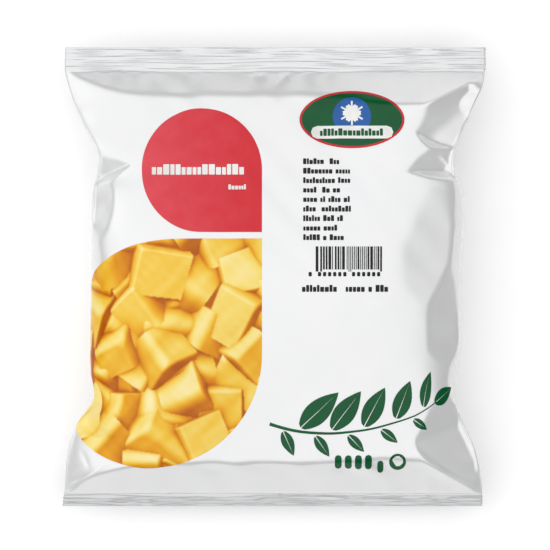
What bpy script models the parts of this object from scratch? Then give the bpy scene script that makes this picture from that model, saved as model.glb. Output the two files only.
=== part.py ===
"""A shut pillow bag of frozen fruit, lying on its back: one closed solid.

The film is a tube, closed by a flat seal band at each end. Rows of points run round the
tube and follow one another from the lower seal to the upper one. Metres, +Z up, +Y
towards the upper seal; the origin lies under the middle of the bag, on its resting face.
"""

import math

import bmesh
import bpy
import numpy as np

MM = 0.001

# The bag as a whole
FLAT_WIDTH = 210 * MM        # width of the empty tube, pressed flat
LENGTH = 230 * MM            # from seal tip to seal tip, as it lies
THICKNESS = 62 * MM          # from the resting face to the crown
SEAL_HEIGHT = 12 * MM        # height of each seal band
SEAL_THICKNESS = 0.8 * MM    # two films pressed together
UPPER_SEAL_TILT = 8          # degrees that the band droops from level
LOWER_SEAL_TILT = 60
ROOT_HEIGHT = 22 * MM        # height above the ground at which the bands begin

# How the body swells between the bands
UPPER_STRIP = (47, 43, 57)   # degrees of the steep strip by a band: at the left, middle and right
LOWER_STRIP = (48, 48, 52)
SHOULDER_ROUND = 2 * MM      # rounding where a strip meets the crown
UPPER_CROWN_END = (0.26, 0.12, 0.4)     # height of the crown at a band, as a share of its height in
LOWER_CROWN_END = (0.33, 0.33, 0.4)     # the bag's middle: again at the left, middle and right
ACROSS_INNER = 20 * MM       # the middle value holds this far out, and the outer one from there on
ACROSS_OUTER = 75 * MM
CROWN_ROUND = 0.3            # how round the crown is along the bag, from a sharp roof at 0
SWELL_REACH = 45 * MM        # distance from a band at which the cross-section is fully round
FLAT_POWER, ROUND_POWER = 7.0, 3.0      # cross-section at a band, and in the body
FLAT_FALL, ROUND_FALL = 1.15, 0.5
BELLY_HALF_WIDTH = 56 * MM   # the back lies flat over a rectangle, this far from the middle line
BELLY_LOWER = -80 * MM       # and between these two places along the bag
BELLY_UPPER = 78 * MM
BELLY_POWER, BELLY_FALL = 2.2, 0.7      # how the back rises from there to the rim and the bands
RIM_FADE = 4 * MM            # dents and creases die out over this distance from the rim

# The rims, left and right: (y, half width, height above the ground) in millimetres
LEFT_OUTLINE = (
    (-115, 106.1, 22), (-108, 104.9, 22), (-87, 102.8, 26), (-72, 98.1, 31), (-62, 91.2, 35),
    (-47, 92.8, 34), (0, 92.1, 34), (43, 90.9, 33), (50, 88.8, 33.5), (60, 87, 38), (78, 95.6, 31),
    (93, 101.8, 25), (103, 104.4, 22), (115, 104.4, 22),
)
RIGHT_OUTLINE = (
    (-115, 104.8, 22), (-108, 104.4, 22), (-87, 100.7, 26.5), (-72, 94.3, 31), (-59, 89.4, 35),
    (-38, 92.4, 33), (0, 92.7, 34), (43, 93.3, 34), (58, 89.4, 37), (78, 96.6, 28.5), (88, 100.8, 30),
    (95, 104.2, 27), (103, 105.8, 22), (115, 106.1, 22),
)

# Dents pressed into the upper film, each made of flat facets. A facet passes through three
# places (x, y, depth below the swell) in millimetres; in a dent the highest facet counts.
DENTS = {
    "waist_left": (
        ((-70, 56.2, 0), (-85, 60.4, 0), (-85.7, 49.5, 6.5)),
        ((-70, 56.2, 0), (-85.7, 49.5, 6.5), (-87.5, 45, 2.5)),
    ),
    "ear_right": (
        ((79.2, 87.4, 0), (93.7, 95.4, 0), (96.7, 86, 2.5)),
        ((79.2, 87.4, 0), (96.7, 86, 2.5), (78.3, 69, 3.3)),
        ((96.7, 86, 2.5), (78.3, 69, 3.3), (91, 66, 1)),
    ),
    "waist_right": (
        ((65.2, 52.7, 0), (77.7, 64, 0), (87.2, 53, 6)),
        ((65.2, 52.7, 0), (87.2, 53, 6), (87, 49, 1)),
    ),
    "flank_right": (
        ((64, -8, 0), (79, 42, 0), (88, 0, -0.4)),
        ((64, -8, 0), (88, 0, -0.4), (78, -15, 0)),
    ),
    "side_right": (
        ((84, -6, 0), (73.5, -33, 0), (88, -31.6, 3.4)),
        ((73.5, -33, 0), (88, -31.6, 3.4), (86, -56, 0)),
    ),
    "foot_right": (
        ((70.7, -81.1, 0), (83.7, -96.6, 0), (103, -104, -2.6)),
        ((70.7, -81.1, 0), (91, -70, 3.5), (87, -60, 0)),
    ),
    "foot_left": (
        ((-104, -107.5, 0), (-84, -97, 1.5), (-81, -90.5, 0)),
        ((-104, -107.5, 0), (-84, -97, 1.5), (-72, -101, 0)),
    ),
    "waist_low_left": (
        ((-84, -62, 0), (-83, -75.5, 0), (-94, -72, 6)),
        ((-84, -62, 0), (-94, -72, 6), (-93, -62, 0)),
    ),
}
FACET_ROUND = 0.7 * MM       # rounding along the edges of the facets
DENT_MARGIN = 3 * MM         # a dent ends this far outside its outermost place
DENT_EDGE = 1.2              # how steeply it ends there

# Creases in the upper film. Each runs through stations of
# (x, y, rise, reach to its left, reach to its right) in millimetres.
FOLDS = {
    "ear_edge_right": ((81, 61, 0, 2, 2), (87, 56, 1.6, 3, 2), (92.5, 47, 1.2, 3, 2)),
    "shoulder_ridge_right": (
        (104, 101, 0, 3, 3), (93.5, 95.4, 1.2, 8, 5), (79, 87.4, 1.6, 9, 5), (66, 80, 0, 6, 5),
    ),
    "foot_ridge_right": (
        (69, -76, 0, 3, 3), (71.5, -87, 1.2, 3, 7), (84, -97, 1.2, 3, 6), (100, -106, 0, 3, 3),
    ),
    "waist_dimple_left": ((-88, -52, 0, 3, 3), (-86, -58, -1.3, 4, 4), (-84, -64, 0, 3, 3)),
    "foot_notch_left": ((-86, -73.5, 0, 2, 3), (-82, -77, 1.6, 3, 5), (-78.5, -80, 0, 3, 3)),
    "ear_crease_left": (
        (-96.5, -86, 0, 2, 2), (-94, -91.5, -0.9, 4, 1.5), (-91.5, -97, 0, 2, 2),
    ),
    "foot_ridge_left": ((-104, -106, 0, 3, 3), (-92, -98, 1.2, 6, 5), (-80, -89.5, 0, 5, 5)),
}

# Spacing of the mesh over each half of the bag
CLOSE_FROM = 60 * MM         # the closer columns run from here to the rim
CENTRE_COLUMNS, SIDE_COLUMNS = 6, 20
BACK_COLUMNS, BELLY_COLUMNS = 9, 2      # from the rim to the flat rectangle, and over it
BODY_ROWS = 80
TRACE_STEPS = 240            # points used to measure the way over a curve
FOLD_STEPS = 6               # straight pieces between two stations of a crease
CLOSER_OUTWARD = 2.5         # crowds those points towards the rim
TINY = 0.001 * MM

FILM_WHITE = (0.86, 0.87, 0.88, 1)
FILM_ROUGHNESS = 0.28

UPPER_ROOT = LENGTH / 2 - SEAL_HEIGHT * math.cos(math.radians(UPPER_SEAL_TILT))
LOWER_ROOT = -LENGTH / 2 + SEAL_HEIGHT * math.cos(math.radians(LOWER_SEAL_TILT))
BODY_MIDDLE = (UPPER_ROOT + LOWER_ROOT) / 2
BODY_HALF = (UPPER_ROOT - LOWER_ROOT) / 2


def smooth_rise(share):
    share = np.clip(share, 0, 1)
    return share * share * (3 - 2 * share)


def soft_least(first, second, rounding):
    """The lesser of two heights, with the corner between them rounded off."""
    blend = np.clip(0.5 + 0.5 * (second - first) / rounding, 0, 1)
    return second * (1 - blend) + first * blend - rounding * blend * (1 - blend)


def smooth_curve(knots, at):
    """A smooth curve through rows of (place, value, ...), read at the given places."""
    knots = np.array(knots, float)
    place, values = knots[:, 0], knots[:, 1:]
    slopes = np.gradient(values, place, axis=0)
    at = np.clip(at, place[0], place[-1])
    left = np.clip(np.searchsorted(place, at, side="right") - 1, 0, len(place) - 2)
    width = (place[left + 1] - place[left])[..., None]
    t = (at - place[left])[..., None] / width
    return (
        (1 + 2 * t) * (1 - t) ** 2 * values[left]
        + t * (1 - t) ** 2 * width * slopes[left]
        + t * t * (3 - 2 * t) * values[left + 1]
        + t * t * (t - 1) * width * slopes[left + 1]
    )


def rim_place(side, y):
    """Half width of the bag and height of its rim, on the left (-1) or the right (1)."""
    outline = LEFT_OUTLINE if side < 0 else RIGHT_OUTLINE
    half_width, height = smooth_curve(outline, np.asarray(y / MM)) * MM
    return float(half_width), float(height)


def fold_rise(x, y):
    """How far the creases lift (or sink) the upper film at each place seen from above."""
    total = np.zeros_like(x)
    for stations in FOLDS.values():
        knots = [(number, *station) for number, station in enumerate(stations)]
        last = len(stations) - 1
        path = smooth_curve(knots, np.linspace(0, last, last * FOLD_STEPS + 1)) * MM
        nearest = np.full_like(x, np.inf)
        rise = np.zeros_like(x)
        for start, end in zip(path, path[1:]):
            run = end[:2] - start[:2]
            ahead = ((x - start[0]) * run[0] + (y - start[1]) * run[1]) / run.dot(run)
            ahead = np.clip(ahead, 0, 1)
            off_x = x - start[0] - ahead * run[0]
            off_y = y - start[1] - ahead * run[1]
            away = np.hypot(off_x, off_y)
            height, left, right = (start[k] + ahead * (end[k] - start[k]) for k in (2, 3, 4))
            reach = np.where(run[0] * off_y - run[1] * off_x > 0, left, right)
            fall = np.clip(1 - away / reach, 0, 1) ** 2
            rise = np.where(away < nearest, height * fall, rise)
            nearest = np.minimum(nearest, away)
        total += rise
    return total


def belly_share(beyond, reach):
    """How fully the back is down: 1 on its flat rectangle, 0 at the end of the reach beyond it."""
    return (1 - np.clip(beyond / reach, 0, 1) ** BELLY_POWER) ** BELLY_FALL


def across_value(values, side, x):
    """A value that goes from its middle one to its left or right one on the way out."""
    outer = values[0] if side < 0 else values[2]
    outward = smooth_rise((x - ACROSS_INNER) / (ACROSS_OUTER - ACROSS_INNER))
    return values[1] + (outer - values[1]) * outward


def crown_fall(share):
    """How far the crown has come down: a roof towards the bands, with a round ridge."""
    share = min(share, 1)
    return (math.hypot(share, CROWN_ROUND) - CROWN_ROUND) / (math.hypot(1, CROWN_ROUND) - CROWN_ROUND)


def smooth_swell(side, y, x):
    """The bag without dents, over distances x from the middle: rim height, upper z, lower z."""
    rim, rim_height = rim_place(side, y)
    lifted = rim_height - ROOT_HEIGHT
    to_band = min(UPPER_ROOT - y, y - LOWER_ROOT)
    swell = smooth_rise(to_band / SWELL_REACH)
    power = FLAT_POWER + (ROUND_POWER - FLAT_POWER) * swell
    fall = FLAT_FALL + (ROUND_FALL - FLAT_FALL) * swell
    is_lower = y < BODY_MIDDLE
    crown_end = across_value(LOWER_CROWN_END if is_lower else UPPER_CROWN_END, side, x)
    crown = 1 - (1 - crown_end) * crown_fall(abs(y - BODY_MIDDLE) / BODY_HALF)
    across = np.clip(1 - (np.minimum(x, rim) / rim) ** power, 0, 1) ** fall
    steepness = across_value(LOWER_STRIP if is_lower else UPPER_STRIP, side, x)
    strip = np.tan(np.radians(steepness)) * to_band - lifted
    dome = ((THICKNESS - ROOT_HEIGHT) * crown - lifted) * across
    rounding = np.minimum(SHOULDER_ROUND, 0.5 * np.maximum(np.minimum(dome, strip), 0) + TINY)
    upper = rim_height + np.maximum(soft_least(strip, dome, rounding), 0)

    if is_lower:
        along = belly_share(BELLY_LOWER - y, BELLY_LOWER - LOWER_ROOT)
    else:
        along = belly_share(y - BELLY_UPPER, UPPER_ROOT - BELLY_UPPER)
    belly = along * belly_share(x - BELLY_HALF_WIDTH, rim - BELLY_HALF_WIDTH)
    return rim_height, upper, (rim_height - SEAL_THICKNESS / 2) * (1 - belly)


def facet_plane(facet):
    """Height at the origin and the two slopes of the plane through a facet's places."""
    rows, heights = [], []
    for x, y, depth in np.array(facet) * MM:
        upper = smooth_swell(math.copysign(1, x), y, np.array([abs(x)]))[1]
        rows.append((1, x, y))
        heights.append(upper[0] - depth)
    return np.linalg.solve(rows, heights)


FACET_PLANES = {name: [facet_plane(facet) for facet in facets] for name, facets in DENTS.items()}


def press_dents(x, y, upper):
    """The upper film with every dent pressed into it."""
    for name, facets in DENTS.items():
        places = np.array(facets)[..., :2].reshape(-1, 2) * MM
        middle = (places.min(0) + places.max(0)) / 2
        reach = np.hypot(*(places - middle).T).max() + DENT_MARGIN
        dent = upper + (np.hypot(x - middle[0], y - middle[1]) - reach) * DENT_EDGE
        for height, slope_x, slope_y in FACET_PLANES[name]:
            dent = -soft_least(-dent, -(height + slope_x * x + slope_y * y), FACET_ROUND)
        upper = soft_least(upper, dent, FACET_ROUND)
    return upper


def cross_section(side, y, steps=TRACE_STEPS):
    """Upper and lower film from the middle line out to the rim: x, upper z, lower z."""
    rim, _ = rim_place(side, y)
    x = rim * (1 - (1 - np.linspace(0, 1, steps)) ** CLOSER_OUTWARD)
    x = np.sort(np.append(x, BELLY_HALF_WIDTH))
    rim_height, upper, lower = smooth_swell(side, y, x)
    along = np.full_like(x, y)
    dented = press_dents(side * x, along, upper) + fold_rise(side * x, along)
    upper = upper + (dented - upper) * smooth_rise((rim - x) / RIM_FADE)
    return side * x, np.maximum(upper, rim_height) + SEAL_THICKNESS / 2, lower


def measured(*coordinates):
    """Way along a run of points, from the first of them."""
    steps = np.sqrt(sum(np.diff(values) ** 2 for values in coordinates))
    return np.concatenate([[0], np.cumsum(steps)])


def upper_columns():
    """Places of the columns on half of the upper film, measured over the film."""
    centre = np.linspace(0, CLOSE_FROM, CENTRE_COLUMNS, endpoint=False)
    return np.concatenate([centre, np.linspace(CLOSE_FROM, FLAT_WIDTH / 2, SIDE_COLUMNS + 1)])


def half_row(side, y):
    """Points of half a row, from the crown over the rim to the middle of the back."""
    x, upper, lower = cross_section(side, y)
    way = measured(x, upper)
    columns = upper_columns()
    spread = (way[-1] - CLOSE_FROM) / (FLAT_WIDTH / 2 - CLOSE_FROM)
    wanted = np.where(columns < CLOSE_FROM, columns, CLOSE_FROM + (columns - CLOSE_FROM) * spread)
    front = [(np.interp(w, way, x), y, np.interp(w, way, upper)) for w in wanted]
    way = measured(x, lower)
    belly_edge = np.interp(BELLY_HALF_WIDTH, abs(x), way)
    wanted = np.concatenate([
        np.linspace(way[-1], belly_edge, BACK_COLUMNS, endpoint=False),
        np.linspace(belly_edge, 0, BELLY_COLUMNS + 1),
    ])
    back = [(np.interp(w, way, x), y, np.interp(w, way, lower)) for w in wanted]
    return front + back


def band_row(side, root, direction, tilt, distance):
    """Points of half a row on a seal band, at a distance out from its root."""
    lean = math.radians(tilt)
    y = root + direction * distance * math.cos(lean)
    z = ROOT_HEIGHT - distance * math.sin(lean)
    rim = side * rim_place(side, y)[0]
    offset_y = direction * math.sin(lean) * SEAL_THICKNESS / 2
    offset_z = math.cos(lean) * SEAL_THICKNESS / 2
    front = [(rim * c / (FLAT_WIDTH / 2), y + offset_y, z + offset_z) for c in upper_columns()]
    shares = np.linspace(0, 1, BACK_COLUMNS + BELLY_COLUMNS + 1)
    back = [(rim * (1 - share), y - offset_y, z - offset_z) for share in shares]
    return front + back


def body_places():
    """Where the body's rows stand along the bag, evenly spaced over the crown."""
    y = np.linspace(LOWER_ROOT, UPPER_ROOT, TRACE_STEPS)
    crest = [cross_section(1, place, steps=3)[1][0] for place in y]
    way = measured(y, np.array(crest))
    places = np.interp(np.linspace(0, way[-1], BODY_ROWS + 1)[1:-1], way, y)
    for end in (BELLY_LOWER, BELLY_UPPER):
        places[np.argmin(abs(places - end))] = end
    return places


def film_rows():
    """All rows as closed rings of points, from the lower seal's tip to the upper one's."""
    makers = [
        lambda side: band_row(side, LOWER_ROOT, -1, LOWER_SEAL_TILT, SEAL_HEIGHT),
        lambda side: band_row(side, LOWER_ROOT, -1, LOWER_SEAL_TILT, 0),
        *(lambda side, y=y: half_row(side, y) for y in body_places()),
        lambda side: band_row(side, UPPER_ROOT, 1, UPPER_SEAL_TILT, 0),
        lambda side: band_row(side, UPPER_ROOT, 1, UPPER_SEAL_TILT, SEAL_HEIGHT),
    ]
    return [maker(1) + maker(-1)[-2:0:-1] for maker in makers]


def make_bag(collection):
    """The bag as one closed mesh: rings joined row by row and capped at both seal tips."""
    bm = bmesh.new()
    rings = [[bm.verts.new(point) for point in row] for row in film_rows()]
    for lower, upper in zip(rings, rings[1:]):
        for k in range(len(lower)):
            after = (k + 1) % len(lower)
            bm.faces.new((lower[k], lower[after], upper[after], upper[k]))
    bm.faces.new(rings[0][::-1])
    bm.faces.new(rings[-1])
    bmesh.ops.recalc_face_normals(bm, faces=bm.faces)
    bmesh.ops.triangulate(bm, faces=bm.faces, quad_method="SHORT_EDGE", ngon_method="BEAUTY")

    mesh = bpy.data.meshes.new("bag")
    bm.to_mesh(mesh)
    bm.free()
    mesh.shade_smooth()
    mesh.set_sharp_from_angle(angle=math.radians(40))
    mesh.materials.append(film_material())
    bag = bpy.data.objects.new("bag", mesh)
    collection.objects.link(bag)
    return bag


def film_material():
    material = bpy.data.materials.new("white_film")
    material.use_nodes = True
    shader = material.node_tree.nodes["Principled BSDF"]
    shader.inputs["Base Color"].default_value = FILM_WHITE
    shader.inputs["Roughness"].default_value = FILM_ROUGHNESS
    shader.inputs["Metallic"].default_value = 0
    return material


def main():
    for leftover in list(bpy.data.objects):
        bpy.data.objects.remove(leftover)
    collection = bpy.data.collections.new("frozen_fruit_bag")
    bpy.context.scene.collection.children.link(collection)
    make_bag(collection)


main()
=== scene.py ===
# A frozen fruit bag lying on its back: printed white film, crimped seal bands, soft folds.
import math
import random

import bpy
import numpy as np
from mathutils import Euler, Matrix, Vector
from mathutils.geometry import delaunay_2d_cdt


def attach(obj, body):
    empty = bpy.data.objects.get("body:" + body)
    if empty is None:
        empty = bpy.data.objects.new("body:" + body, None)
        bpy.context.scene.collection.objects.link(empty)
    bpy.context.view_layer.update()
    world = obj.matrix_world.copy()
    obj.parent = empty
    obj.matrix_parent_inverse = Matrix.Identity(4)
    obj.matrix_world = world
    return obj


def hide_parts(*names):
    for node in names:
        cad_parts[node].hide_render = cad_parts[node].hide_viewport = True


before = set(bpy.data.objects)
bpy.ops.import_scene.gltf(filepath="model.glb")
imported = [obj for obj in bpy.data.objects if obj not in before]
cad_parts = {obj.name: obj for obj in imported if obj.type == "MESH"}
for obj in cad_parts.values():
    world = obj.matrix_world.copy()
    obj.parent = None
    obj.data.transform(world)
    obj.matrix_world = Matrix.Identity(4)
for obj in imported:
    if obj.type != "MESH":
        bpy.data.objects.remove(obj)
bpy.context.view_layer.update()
mm = 0.001  # the sizes below are in millimetres unless they say otherwise

bag = {
    "flatWidth": 210,  # the empty tube, pressed flat
    "length": 230,  # from tip to tip, as it lies
    "thickness": 62,
    "sealHeight": 12,
    "sealThickness": 0.6,
    "upperTilt": 8,  # degrees that the seal bands droop
    "lowerTilt": 60,
    "rootHeight": 22,  # of the seal bands, above the ground
    # by the upper band and by the lower one, each at the left, middle and right:
    "strips": ((44.2, 44.2, 48.5), (48, 48, 46.5)),  # degrees of the steep strip beside the band
    "crownEnds": ((0.2, 0.18, 0.4), (0.33, 0.33, 0.4)),  # the crown there, as a share of the middle's
    "acrossSpan": (20, 75),  # where the middle value begins to turn, and ends
    "crownRound": 0.3,  # along the bag, from a sharp roof at 0
    "shoulderRound": 1.2,  # where the strip meets the crown
    "facetRound": 0.7,
    "facetMargin": 3,  # a dent works this far beyond its farthest place
    "facetEdge": 1.2,  # and rises so steeply there
    "swellReach": 45,  # from a band to where the bag is fully round
    "powers": (7.0, 3.0),  # the cross-section at a band, and in the body
    "falls": (1.15, 0.5),
    "bellyHalfWidth": 56,  # the back lies flat so far from the middle line
    "bellyEnds": (-80, 78),  # and between these two places along the bag
    "bellyCurve": (2.2, 0.7),  # how it rises from there to the rim and the bands
    "rimFade": 1.6,  # width over which facets and folds die away
    "rimCrowding": 2.5,  # of a cross-section's samples
    "centreColumns": 32,  # from the middle line to closeFrom
    "sideColumns": 38,  # from there to the rim
    "closeFrom": 70,
    "bodyRows": 206,
    "bandRows": 44,
}

# The rims along the bag: (y, half width, height above the ground)
leftOutline = (
    (-115, 106.1, 22), (-108, 104.9, 22), (-87, 102.8, 26), (-72, 97.4, 31), (-62, 90.1, 35), (-47, 91.2, 34),
    (-25, 91.2, 34), (0, 90.7, 35), (18, 90.5, 37.5), (34, 90.4, 38), (43, 90.1, 36), (50, 88.4, 33.5),
    (60, 87, 38), (78, 95.6, 31), (93, 101.8, 25), (103, 104.4, 22), (115, 104.4, 22),
)
rightOutline = (
    (-115, 104.8, 22), (-108, 104.4, 22), (-87, 100.7, 26.5), (-72, 94.3, 31), (-59, 89.4, 35), (-38, 92.4, 33),
    (0, 92.7, 34), (43, 93.3, 34), (58, 89.4, 37), (78, 96.6, 29.3), (88, 100.8, 31.3), (95, 104.2, 28.4),
    (103, 105.8, 22), (115, 106.1, 22),
)

# Flat facets pressed into the upper film. Each facet passes through three places
# (x, y, depth below the smooth swell); a dent with several facets keeps the highest.
dents = {
    "waistLeft": (
        ((-70, 56.2, 0), (-85, 60.4, 0), (-85.7, 49.5, 5)),
        ((-70, 56.2, 0), (-85.7, 49.5, 5), (-87.5, 45, 2)),
    ),
    "earRight": (
        ((79.2, 87.4, 0.3), (93.7, 95.4, -1.4), (96.7, 86, 4.5)),
        ((79.2, 87.4, 0.3), (96.7, 86, 4.5), (78.3, 69, 3.7)),
        ((96.7, 86, 4.5), (78.3, 69, 3.7), (91, 66, 1.3)),
    ),
    "waistRight": (
        ((65.2, 52.7, 0), (77.7, 64, 0), (87.2, 53, 6)),
        ((65.2, 52.7, 0), (87.2, 53, 6), (87, 49, 1)),
    ),
    "flankRight": (
        ((64, -6, 0), (79, 42, 0), (88, 0, -0.9)),
        ((64, -6, 0), (88, 0, -0.9), (82, -9, 0)),
    ),
    "sideRight": (
        ((88, 6, 0), (77, -37, 0), (88.5, -33, 2.9)),
        ((77, -37, 0), (88.5, -33, 2.9), (87, -43, 0)),
    ),
    "footRight": (
        ((70.7, -81.1, 0), (83.7, -96.6, 0), (103, -104, -0.4)),
        ((70.7, -81.1, 0), (91, -70, 3.5), (87, -60, 0)),
    ),
    "hipLeft": (
        ((-80.5, 47, 0), (-83.5, 22, 0), (-90.2, 35, 1.9)),
    ),
    "waistLowLeft": (
        ((-84, -62, 0), (-83, -75.5, 0), (-94, -72, 6)),
        ((-84, -62, 0), (-94, -72, 6), (-93, -62, 0)),
    ),
}

foldSteps = 8  # straight steps between two stations of a crease
# Creases: stations of (x, y, rise, reach to the left of the run, reach to its right)
folds = {
    "rootPuckerLeft": ((-9, 103, 0, 2, 2), (-7, 100.5, 0.9, 3, 3), (-6, 97, 0, 2, 2)),
    "rootPuckerRight": ((7, 103, 0, 2, 2), (5.5, 100, 1.1, 3, 3), (4, 95.5, 0, 2, 2)),
    "notchTop": ((2, 96, 0, 4, 4), (2.5, 91, -0.5, 7, 7), (2, 85.5, 0, 5, 5)),
    "earEdgeRight": ((82, 60.5, 0, 3, 3), (87, 56, 1.2, 4, 3), (92.5, 47, 1, 3, 2)),
    "shoulderRidgeRight": ((104, 101, 0, 3, 3), (93.5, 95.4, 1.2, 8, 5), (79, 87.4, 1.6, 9, 5), (66, 80, 0, 6, 5)),
    "footRidgeRight": ((69, -76, 0, 3, 3), (71.5, -87, 1.2, 3, 7), (84, -97, 1.2, 3, 6), (100, -106, 0, 3, 3)),
    "waistDimpleLeft": ((-88, -52, 0, 3, 3), (-86, -58, -1.3, 4, 4), (-84, -64, 0, 3, 3)),
    "footNotchLeft": ((-86, -73.5, 0, 2, 3), (-82, -77, 1.6, 3, 5), (-78.5, -80, 0, 3, 3)),
    "earCreaseLeft": ((-96.5, -86, 0, 2, 2), (-94, -91.5, -0.5, 3, 1.2), (-91.5, -97, 0, 2, 2)),
    "footRidgeLeft": ((-104, -106, 0, 3, 3), (-92, -99, 1.8, 6, 6), (-80, -90.5, 0, 5, 5)),
}


def smoothRise(share):
    share = np.clip(share, 0, 1)
    return share * share * (3 - 2 * share)


def softLeast(first, second, rounding):  # the lesser of two, with the corner rounded off
    share = np.clip(0.5 + 0.5 * (second - first) / rounding, 0, 1)
    return second * (1 - share) + first * share - rounding * share * (1 - share)


def smoothCurve(knots, at):  # a smooth curve through rows of (place, value, ...)
    knots = np.array(knots, float)
    place, values = knots[:, 0], knots[:, 1:]
    slopes = np.gradient(values, place, axis=0)
    at = np.clip(at, place[0], place[-1])
    left = np.clip(np.searchsorted(place, at, side="right") - 1, 0, len(place) - 2)
    width = (place[left + 1] - place[left])[..., None]
    t = (at - place[left])[..., None] / width
    return (
        (1 + 2 * t) * (1 - t) ** 2 * values[left]
        + t * (1 - t) ** 2 * width * slopes[left]
        + t * t * (3 - 2 * t) * values[left + 1]
        + t * t * (t - 1) * width * slopes[left + 1]
    )


def measured(*coordinates):  # way along a run of points
    return np.concatenate([[0], np.cumsum(np.sqrt(sum(np.diff(c) ** 2 for c in coordinates)))])


upperRoot = bag["length"] / 2 - bag["sealHeight"] * math.cos(math.radians(bag["upperTilt"]))
lowerRoot = -bag["length"] / 2 + bag["sealHeight"] * math.cos(math.radians(bag["lowerTilt"]))
bodyMiddle, bodyHalf = (upperRoot + lowerRoot) / 2, (upperRoot - lowerRoot) / 2
rimAt = bag["flatWidth"] / 2
tiny = 0.001


def rimPlace(side, y):  # half width and height of the rim
    place = smoothCurve(leftOutline if side < 0 else rightOutline, np.asarray(y, float))
    return float(place[..., 0]), float(place[..., 1])


def foldRise(x, y):
    total = np.zeros_like(x)
    for stations in folds.values():
        last = len(stations) - 1
        knots = [(k, *station) for k, station in enumerate(stations)]
        path = smoothCurve(knots, np.linspace(0, last, last * foldSteps + 1))
        nearest = np.full_like(x, np.inf)
        rise = np.zeros_like(x)
        for start, end in zip(path, path[1:]):
            run = end[:2] - start[:2]
            ahead = np.clip(((x - start[0]) * run[0] + (y - start[1]) * run[1]) / run.dot(run), 0, 1)
            offX = x - start[0] - ahead * run[0]
            offY = y - start[1] - ahead * run[1]
            away = np.hypot(offX, offY)
            height, left, right = (start[k] + ahead * (end[k] - start[k]) for k in (2, 3, 4))
            reach = np.where(run[0] * offY - run[1] * offX > 0, left, right)
            fall = np.clip(1 - away / reach, 0, 1) ** 2
            rise = np.where(away < nearest, height * fall, rise)
            nearest = np.minimum(nearest, away)
        total += rise
    return total


def bellyShare(beyond, reach):  # 1 where the back lies flat, 0 at the end of the reach beyond that
    power, fall = bag["bellyCurve"]
    return (1 - np.clip(beyond / reach, 0, 1) ** power) ** fall


def crownFall(share):  # a hyperbola: a roof's slope towards the bands and a round ridge in the middle
    roundness = bag["crownRound"]
    return (math.hypot(min(share, 1), roundness) - roundness) / (math.hypot(1, roundness) - roundness)


def smoothSwell(side, y, x):  # the bag without folds: rim, its height, and both films over the places x
    rim, rimHeight = rimPlace(side, y)
    lifted = rimHeight - bag["rootHeight"]
    toBand = min(upperRoot - y, y - lowerRoot)
    swell = smoothRise(toBand / bag["swellReach"])
    power, fall = (bag[k][0] + (bag[k][1] - bag[k][0]) * swell for k in ("powers", "falls"))
    isLower = int(y < bodyMiddle)
    inner, outer = bag["acrossSpan"]
    outward = smoothRise((x - inner) / (outer - inner))
    values = (bag["strips"][isLower], bag["crownEnds"][isLower])
    steepness, crownEnd = (k[1] + (k[1 + side] - k[1]) * outward for k in values)
    crown = 1 - (1 - crownEnd) * crownFall(abs(y - bodyMiddle) / bodyHalf)
    across = np.clip(1 - (np.minimum(x, rim) / rim) ** power, 0, 1) ** fall
    strip = np.tan(np.radians(steepness)) * toBand - lifted
    dome = ((bag["thickness"] - bag["rootHeight"]) * crown - lifted) * across
    rounding = np.minimum(bag["shoulderRound"], np.maximum(np.minimum(dome, strip), 0) / 2 + tiny)
    upper = rimHeight + np.maximum(softLeast(strip, dome, rounding), 0)
    low, high = bag["bellyEnds"]
    along = bellyShare(low - y, low - lowerRoot) if isLower else bellyShare(y - high, upperRoot - high)
    belly = along * bellyShare(x - bag["bellyHalfWidth"], rim - bag["bellyHalfWidth"])
    return rim, rimHeight, upper, (rimHeight - bag["sealThickness"] / 2) * (1 - belly)


def facetPlane(places):  # height and two slopes of the plane through three places
    heights = [smoothSwell(1 if x > 0 else -1, y, np.array([abs(x)]))[2][0] - depth for x, y, depth in places]
    return np.linalg.solve([(1, x, y) for x, y, _ in places], heights)


dentPlanes = {name: [facetPlane(facet) for facet in facets] for name, facets in dents.items()}


def pressed(x, y, upper):
    for name, facets in dents.items():
        places = np.array(facets)[..., :2].reshape(-1, 2)
        middle = (places.min(0) + places.max(0)) / 2
        reach = np.hypot(*(places - middle).T).max() + bag["facetMargin"]
        tool = upper + (np.hypot(x - middle[0], y - middle[1]) - reach) * bag["facetEdge"]
        for height, slopeX, slopeY in dentPlanes[name]:
            facet = height + slopeX * x + slopeY * y
            tool = -softLeast(-tool, -facet, bag["facetRound"])
        upper = softLeast(upper, tool, bag["facetRound"])
    return upper


def crossSection(side, y, steps=400):  # from the middle line to the rim: x, upper z, lower z
    rim, _ = rimPlace(side, y)
    x = rim * (1 - (1 - np.linspace(0, 1, steps)) ** bag["rimCrowding"])
    rim, rimHeight, upper, lower = smoothSwell(side, y, x)
    place = np.full_like(x, y)
    dented = pressed(side * x, place, upper) + foldRise(side * x, place)
    upper = upper + (dented - upper) * smoothRise((rim - x) / bag["rimFade"])
    return side * x, np.maximum(upper, rimHeight) + bag["sealThickness"] / 2, lower


closeFrom = bag["closeFrom"]  # nearer the middle the film is measured as it lies
halfColumns = np.concatenate([  # from the middle line to the rim
    np.linspace(0, closeFrom, bag["centreColumns"], endpoint=False),
    np.linspace(closeFrom, rimAt, bag["sideColumns"] + 1),
])


def pointRow(x, y, z):
    return np.stack(np.broadcast_arrays(x, y, z), 1)


def halfRow(side, y):
    x, upper, lower = crossSection(side, y)
    way = measured(x, upper)
    stretch = (way[-1] - closeFrom) / (rimAt - closeFrom)
    wanted = np.where(halfColumns < closeFrom, halfColumns, closeFrom + (halfColumns - closeFrom) * stretch)
    front = pointRow(np.interp(wanted, way, x), y, np.interp(wanted, way, upper))
    way = measured(x, lower)
    wanted = halfColumns / rimAt * way[-1]
    return front, pointRow(np.interp(wanted, way, x), y, np.interp(wanted, way, lower))


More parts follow.
